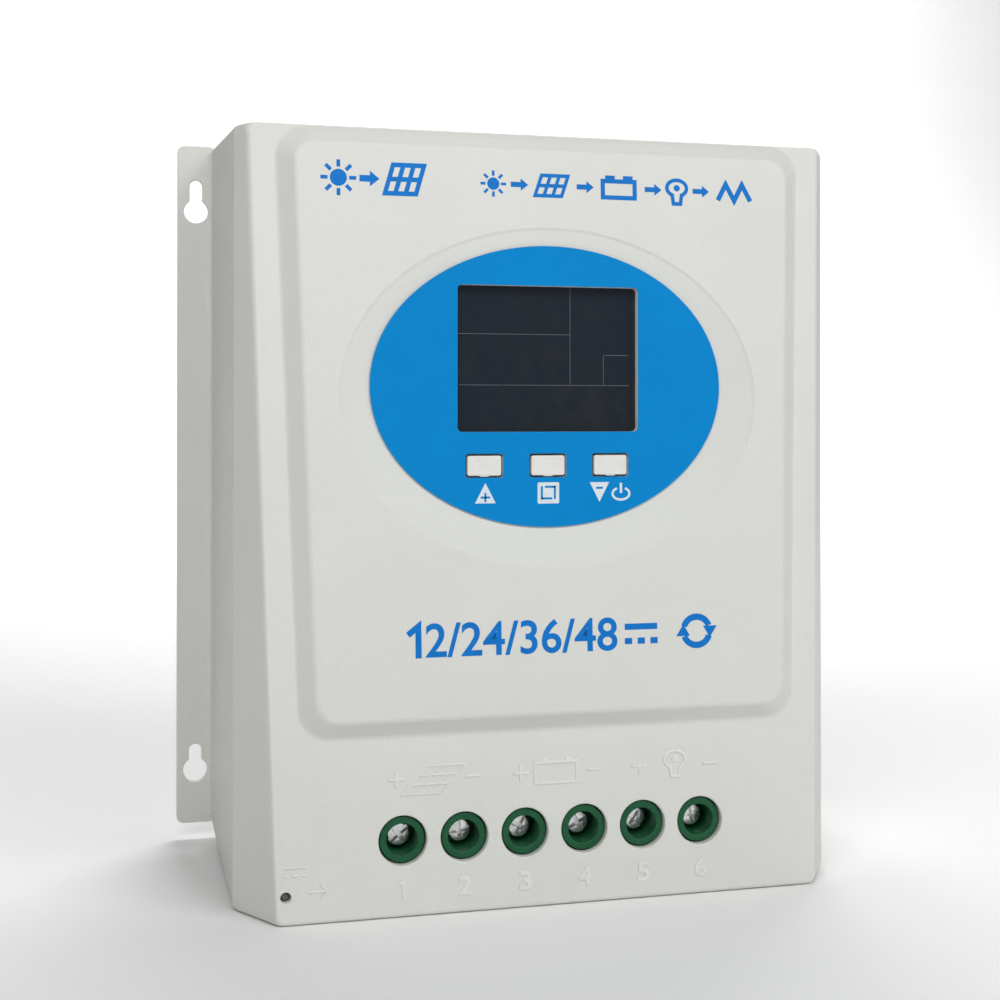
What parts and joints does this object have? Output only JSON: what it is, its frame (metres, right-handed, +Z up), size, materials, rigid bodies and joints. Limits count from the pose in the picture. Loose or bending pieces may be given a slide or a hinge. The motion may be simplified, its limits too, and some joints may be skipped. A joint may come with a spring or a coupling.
{
  "type": "solar charge controller",
  "caption": "Wall-mounted solar charge controller: plastic case with keyhole flanges, raised front panel, screen in an oval label, keys and recessed screw terminals.",
  "frame": {"origin": "middle of the aluminium back plate's rear face, on the wall plane, half way up the flanges", "axes": "+Y points into the wall and the front looks along -Y; +X is right as seen from the front; +Z is up"},
  "size_m": [0.222, 0.107, 0.2468],
  "materials": {
    "case_plastic": "fine textured light grey ABS",
    "label_film": "printed blue film",
    "screen_glass": "dark, polished",
    "white_plastic": "plain",
    "key_plastic": "satin off-white",
    "black_plastic": "moulded",
    "circuit_board": "green solder mask",
    "terminal_plastic": "dark green polyamide",
    "zinc_screw": "zinc plated",
    "bright_steel": "nickel plated",
    "contact_copper": "tinned copper",
    "base_aluminium": "extruded",
    "clear_plastic": "clear light pipe",
    "capacitor_sleeve": "shrink sleeve, aluminium top",
    "copper_winding": "enamelled copper wire"
  },
  "bodies": {
    "case": {"front_case": "case_plastic", "aluminium_base": "base_aluminium", "main_board": "circuit_board", "display_board": "circuit_board", "label_overlay": "label_film", "lcd_glass": "screen_glass", "lcd_frame": "white_plastic", "tact_switch_up": "black_plastic", "tact_switch_set": "black_plastic", "tact_switch_down": "black_plastic", "terminal_body_1": "terminal_plastic", "terminal_body_2": "terminal_plastic", "terminal_body_3": "terminal_plastic", "terminal_body_4": "terminal_plastic", "terminal_body_5": "terminal_plastic", "terminal_body_6": "terminal_plastic", "contact_bar_1": "contact_copper", "contact_bar_2": "contact_copper", "contact_bar_3": "contact_copper", "contact_bar_4": "contact_copper", "contact_bar_5": "contact_copper", "contact_bar_6": "contact_copper", "usb_socket": "bright_steel", "status_light_pipe": "clear_plastic", "capacitor_1": "capacitor_sleeve", "capacitor_2": "capacitor_sleeve", "power_inductor": "copper_winding", "mosfet_1": "black_plastic", "mosfet_2": "black_plastic", "ribbon_cable": "white_plastic", "display_screw_1": "zinc_screw", "display_screw_2": "zinc_screw", "display_screw_3": "zinc_screw", "display_screw_4": "zinc_screw", "board_screw_1": "zinc_screw", "board_screw_2": "zinc_screw", "board_screw_3": "zinc_screw", "board_screw_4": "zinc_screw", "case_screw_1": "zinc_screw", "case_screw_2": "zinc_screw", "case_screw_3": "zinc_screw", "case_screw_4": "zinc_screw"},
    "key_up": {"key_cap_up": "key_plastic", "switch_plunger_up": "black_plastic"},
    "key_set": {"key_cap_set": "key_plastic", "switch_plunger_set": "black_plastic"},
    "key_down": {"key_cap_down": "key_plastic", "switch_plunger_down": "black_plastic"},
    "screw_1": {"terminal_screw_1": "zinc_screw"},
    "cage_1": {"clamp_cage_1": "bright_steel"},
    "screw_2": {"terminal_screw_2": "zinc_screw"},
    "cage_2": {"clamp_cage_2": "bright_steel"},
    "screw_3": {"terminal_screw_3": "zinc_screw"},
    "cage_3": {"clamp_cage_3": "bright_steel"},
    "screw_4": {"terminal_screw_4": "zinc_screw"},
    "cage_4": {"clamp_cage_4": "bright_steel"},
    "screw_5": {"terminal_screw_5": "zinc_screw"},
    "cage_5": {"clamp_cage_5": "bright_steel"},
    "screw_6": {"terminal_screw_6": "zinc_screw"},
    "cage_6": {"clamp_cage_6": "bright_steel"}
  },
  "joints": [
    {"name": "press_up", "type": "slide", "parent": "case", "child": "key_up", "axis": [0, 1, 0], "range_m": [0, 0.0005], "stiffness_N_per_m": 3000},
    {"name": "press_set", "type": "slide", "parent": "case", "child": "key_set", "axis": [0, 1, 0], "range_m": [0, 0.0005], "stiffness_N_per_m": 3000},
    {"name": "press_down", "type": "slide", "parent": "case", "child": "key_down", "axis": [0, 1, 0], "range_m": [0, 0.0005], "stiffness_N_per_m": 3000},
    {"name": "turn_screw_1", "type": "hinge", "parent": "case", "child": "screw_1", "pos_m": [-0.048, -0.0934, -0.1034], "axis": [0, 1, 0], "range_deg": [0, 2880]},
    {"name": "raise_cage_1", "type": "slide", "parent": "case", "child": "cage_1", "axis": [0, -1, 0], "range_m": [0, 0.006]},
    {"name": "turn_screw_2", "type": "hinge", "parent": "case", "child": "screw_2", "pos_m": [-0.029, -0.0934, -0.1034], "axis": [0, 1, 0], "range_deg": [0, 2880]},
    {"name": "raise_cage_2", "type": "slide", "parent": "case", "child": "cage_2", "axis": [0, -1, 0], "range_m": [0, 0.006]},
    {"name": "turn_screw_3", "type": "hinge", "parent": "case", "child": "screw_3", "pos_m": [-0.01, -0.0934, -0.1034], "axis": [0, 1, 0], "range_deg": [0, 2880]},
    {"name": "raise_cage_3", "type": "slide", "parent": "case", "child": "cage_3", "axis": [0, -1, 0], "range_m": [0, 0.006]},
    {"name": "turn_screw_4", "type": "hinge", "parent": "case", "child": "screw_4", "pos_m": [0.009, -0.0934, -0.1034], "axis": [0, 1, 0], "range_deg": [0, 2880]},
    {"name": "raise_cage_4", "type": "slide", "parent": "case", "child": "cage_4", "axis": [0, -1, 0], "range_m": [0, 0.006]},
    {"name": "turn_screw_5", "type": "hinge", "parent": "case", "child": "screw_5", "pos_m": [0.028, -0.0934, -0.1034], "axis": [0, 1, 0], "range_deg": [0, 2880]},
    {"name": "raise_cage_5", "type": "slide", "parent": "case", "child": "cage_5", "axis": [0, -1, 0], "range_m": [0, 0.006]},
    {"name": "turn_screw_6", "type": "hinge", "parent": "case", "child": "screw_6", "pos_m": [0.047, -0.0934, -0.1034], "axis": [0, 1, 0], "range_deg": [0, 2880]},
    {"name": "raise_cage_6", "type": "slide", "parent": "case", "child": "cage_6", "axis": [0, -1, 0], "range_m": [0, 0.006]}
  ],
  "couplings": [
    {"joint": "turn_screw_1", "follows": "raise_cage_1", "rad_per_m": 7854},
    {"joint": "turn_screw_2", "follows": "raise_cage_2", "rad_per_m": 7854},
    {"joint": "turn_screw_3", "follows": "raise_cage_3", "rad_per_m": 7854},
    {"joint": "turn_screw_4", "follows": "raise_cage_4", "rad_per_m": 7854},
    {"joint": "turn_screw_5", "follows": "raise_cage_5", "rad_per_m": 7854},
    {"joint": "turn_screw_6", "follows": "raise_cage_6", "rad_per_m": 7854}
  ]
}
